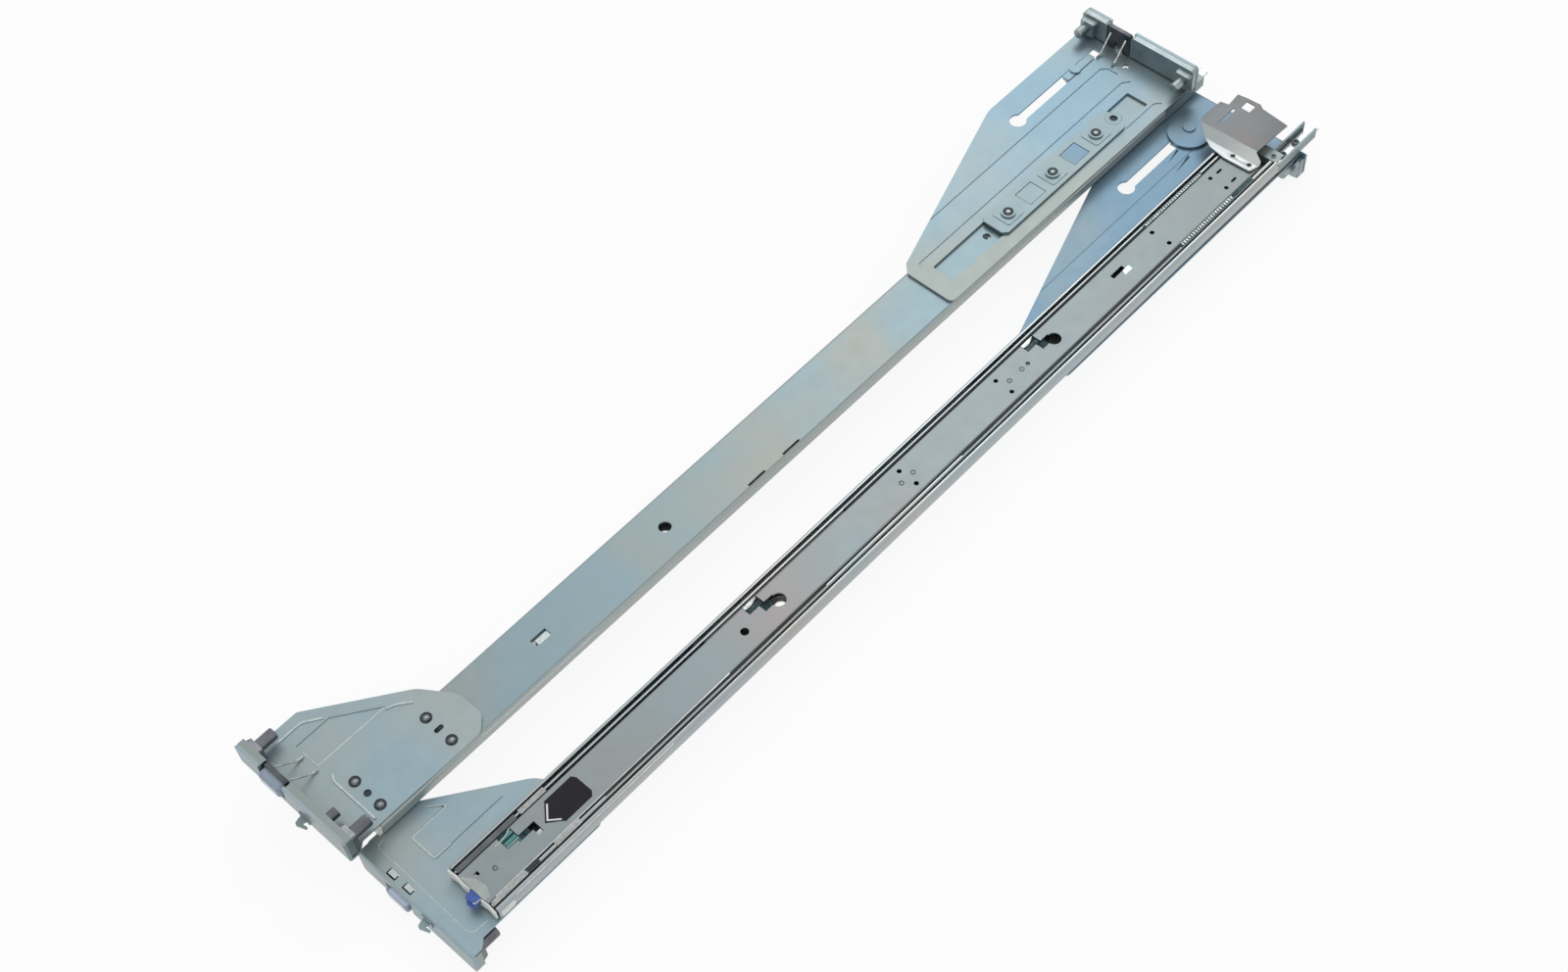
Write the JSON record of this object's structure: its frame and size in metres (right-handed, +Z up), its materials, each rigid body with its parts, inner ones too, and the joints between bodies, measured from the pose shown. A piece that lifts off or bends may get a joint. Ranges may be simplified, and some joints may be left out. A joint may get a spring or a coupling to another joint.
{
  "type": "sliding server rail pair",
  "caption": "Pair of ball-bearing telescoping server rails with stud brackets, sprung post latches, depth-adjustable rear brackets and cable arm mounts.",
  "frame": {"origin": "middle of the pair on the surface it lies on", "axes": "+X from the front flanges to the rear flanges, +Y from the left rail to the right rail, +Z up"},
  "size_m": [0.7465, 0.1688, 0.0481],
  "materials": {
    "zinc_plated_steel": "blue-grey zinc plate, satin",
    "bright_steel": "bright nickel plate",
    "bearing_steel": "polished",
    "die_cast_zinc": "tumbled grey die casting",
    "blackened_steel": "dark passivated plate",
    "grey_painted_steel": "warm grey satin coat",
    "clear_blue_plastic": "pale blue moulded",
    "blue_plastic": "blue moulded touch point",
    "white_plastic": "natural white moulded",
    "green_plastic": "dark green moulded"
  },
  "bodies": {
    "rack_side": {"left_outer_member": "zinc_plated_steel", "left_front_bracket": "zinc_plated_steel", "left_front_rivets": "bright_steel", "left_front_upper_stud_block": "die_cast_zinc", "left_front_lower_stud_block": "die_cast_zinc", "left_server_hook": "zinc_plated_steel", "left_strap_plate": "zinc_plated_steel", "left_strap_rivets": "bright_steel", "left_arm_mount": "grey_painted_steel", "left_arm_tongue": "bright_steel", "right_outer_member": "zinc_plated_steel", "right_front_bracket": "zinc_plated_steel", "right_front_rivets": "bright_steel", "right_front_upper_stud_block": "die_cast_zinc", "right_front_lower_stud_block": "die_cast_zinc", "right_server_hook": "zinc_plated_steel", "right_strap_plate": "zinc_plated_steel", "right_strap_rivets": "bright_steel", "right_arm_mount": "grey_painted_steel", "right_arm_tongue": "bright_steel"},
    "left_intermediate": {"left_intermediate_member": "zinc_plated_steel"},
    "left_inner": {"left_inner_member": "zinc_plated_steel", "left_front_bumper": "white_plastic", "left_cable_bracket": "grey_painted_steel"},
    "left_outer_cage": {"left_outer_ball_cage": "bright_steel", "left_outer_balls": "bearing_steel"},
    "left_inner_cage": {"left_inner_ball_cage": "bright_steel", "left_inner_balls": "bearing_steel"},
    "left_rear_bracket": {"left_rear_bracket": "zinc_plated_steel", "left_rear_upper_stud_block": "die_cast_zinc", "left_rear_lower_stud_block": "die_cast_zinc"},
    "left_front_latch": {"left_front_latch": "blackened_steel", "left_front_latch_button": "clear_blue_plastic", "left_front_latch_spring": "bright_steel"},
    "left_rear_latch": {"left_rear_latch": "blackened_steel", "left_rear_latch_spring": "bright_steel"},
    "left_release": {"left_release_lever": "bright_steel", "left_release_tab": "blue_plastic"},
    "left_lock_leaf": {"left_lock_leaf": "green_plastic"},
    "left_key": {"left_slot_slider": "zinc_plated_steel"},
    "right_intermediate": {"right_intermediate_member": "zinc_plated_steel"},
    "right_inner": {"right_inner_member": "zinc_plated_steel", "right_front_bumper": "white_plastic", "right_cable_bracket": "grey_painted_steel"},
    "right_outer_cage": {"right_outer_ball_cage": "bright_steel", "right_outer_balls": "bearing_steel"},
    "right_inner_cage": {"right_inner_ball_cage": "bright_steel", "right_inner_balls": "bearing_steel"},
    "right_rear_bracket": {"right_rear_bracket": "zinc_plated_steel", "right_rear_upper_stud_block": "die_cast_zinc", "right_rear_lower_stud_block": "die_cast_zinc"},
    "right_front_latch": {"right_front_latch": "blackened_steel", "right_front_latch_button": "clear_blue_plastic", "right_front_latch_spring": "bright_steel"},
    "right_rear_latch": {"right_rear_latch": "blackened_steel", "right_rear_latch_spring": "bright_steel"},
    "right_release": {"right_release_lever": "bright_steel", "right_release_tab": "blue_plastic"},
    "right_lock_leaf": {"right_lock_leaf": "green_plastic"},
    "right_key": {"right_slot_slider": "zinc_plated_steel"}
  },
  "joints": [
    {"name": "left_first_stage", "type": "slide", "parent": "rack_side", "child": "left_intermediate", "axis": [-1, 0, 0], "range_m": [0, 0.32]},
    {"name": "left_second_stage", "type": "slide", "parent": "left_intermediate", "child": "left_inner", "axis": [-1, 0, 0], "range_m": [0, 0.32]},
    {"name": "left_outer_cage_roll", "type": "slide", "parent": "rack_side", "child": "left_outer_cage", "axis": [-1, 0, 0], "range_m": [0, 0.16]},
    {"name": "left_inner_cage_roll", "type": "slide", "parent": "left_intermediate", "child": "left_inner_cage", "axis": [-1, 0, 0], "range_m": [0, 0.16]},
    {"name": "left_depth_adjust", "type": "slide", "parent": "rack_side", "child": "left_rear_bracket", "axis": [1, 0, 0], "range_m": [-0.035, 0.05]},
    {"name": "left_front_latch_pivot", "type": "hinge", "parent": "rack_side", "child": "left_front_latch", "pos_m": [-0.35535, -0.026, 0.01825], "axis": [0, 1, 0], "range_deg": [0, 9], "stiffness_Nm_per_rad": 0.35, "springref_deg": -3.44},
    {"name": "left_rear_latch_pivot", "type": "hinge", "parent": "left_rear_bracket", "child": "left_rear_latch", "pos_m": [0.34685, -0.026, 0.01795], "axis": [0, -1, 0], "range_deg": [0, 9], "stiffness_Nm_per_rad": 0.35, "springref_deg": -3.44},
    {"name": "left_release_pull", "type": "slide", "parent": "left_inner", "child": "left_release", "axis": [-1, 0, 0], "range_m": [0, 0.007], "stiffness_N_per_m": 400, "springref_m": -0.003},
    {"name": "left_lock_leaf_flex", "type": "hinge", "parent": "left_inner", "child": "left_lock_leaf", "pos_m": [-0.30445, -0.0601, 0.0269], "axis": [-1, 0, 0], "range_deg": [0, 8], "stiffness_Nm_per_rad": 0.15, "springref_deg": -2.86},
    {"name": "left_key_slide", "type": "slide", "parent": "left_rear_bracket", "child": "left_key", "axis": [1, 0, 0], "range_m": [-0.04, 0.003]},
    {"name": "right_first_stage", "type": "slide", "parent": "rack_side", "child": "right_intermediate", "axis": [-1, 0, 0], "range_m": [0, 0.32]},
    {"name": "right_second_stage", "type": "slide", "parent": "right_intermediate", "child": "right_inner", "axis": [-1, 0, 0], "range_m": [0, 0.32]},
    {"name": "right_outer_cage_roll", "type": "slide", "parent": "rack_side", "child": "right_outer_cage", "axis": [-1, 0, 0], "range_m": [0, 0.16]},
    {"name": "right_inner_cage_roll", "type": "slide", "parent": "right_intermediate", "child": "right_inner_cage", "axis": [-1, 0, 0], "range_m": [0, 0.16]},
    {"name": "right_depth_adjust", "type": "slide", "parent": "rack_side", "child": "right_rear_bracket", "axis": [1, 0, 0], "range_m": [-0.035, 0.05]},
    {"name": "right_front_latch_pivot", "type": "hinge", "parent": "rack_side", "child": "right_front_latch", "pos_m": [-0.36285, 0.0547, 0.02985], "axis": [0, -1, 0], "range_deg": [0, 9], "stiffness_Nm_per_rad": 0.35, "springref_deg": -3.44},
    {"name": "right_rear_latch_pivot", "type": "hinge", "parent": "right_rear_bracket", "child": "right_rear_latch", "pos_m": [0.33935, 0.0547, 0.03015], "axis": [0, 1, 0], "range_deg": [0, 9], "stiffness_Nm_per_rad": 0.35, "springref_deg": -3.44},
    {"name": "right_release_pull", "type": "slide", "parent": "right_inner", "child": "right_release", "axis": [-1, 0, 0], "range_m": [0, 0.007], "stiffness_N_per_m": 400, "springref_m": -0.003},
    {"name": "right_lock_leaf_flex", "type": "hinge", "parent": "right_inner", "child": "right_lock_leaf", "pos_m": [-0.31195, 0.0206, 0.0212], "axis": [1, 0, 0], "range_deg": [0, 8], "stiffness_Nm_per_rad": 0.15, "springref_deg": -2.86},
    {"name": "right_key_slide", "type": "slide", "parent": "right_rear_bracket", "child": "right_key", "axis": [1, 0, 0], "range_m": [-0.04, 0.003]}
  ],
  "couplings": [
    {"joint": "left_outer_cage_roll", "follows": "left_first_stage", "ratio": 0.5},
    {"joint": "left_inner_cage_roll", "follows": "left_second_stage", "ratio": 0.5},
    {"joint": "right_outer_cage_roll", "follows": "right_first_stage", "ratio": 0.5},
    {"joint": "right_inner_cage_roll", "follows": "right_second_stage", "ratio": 0.5}
  ]
}
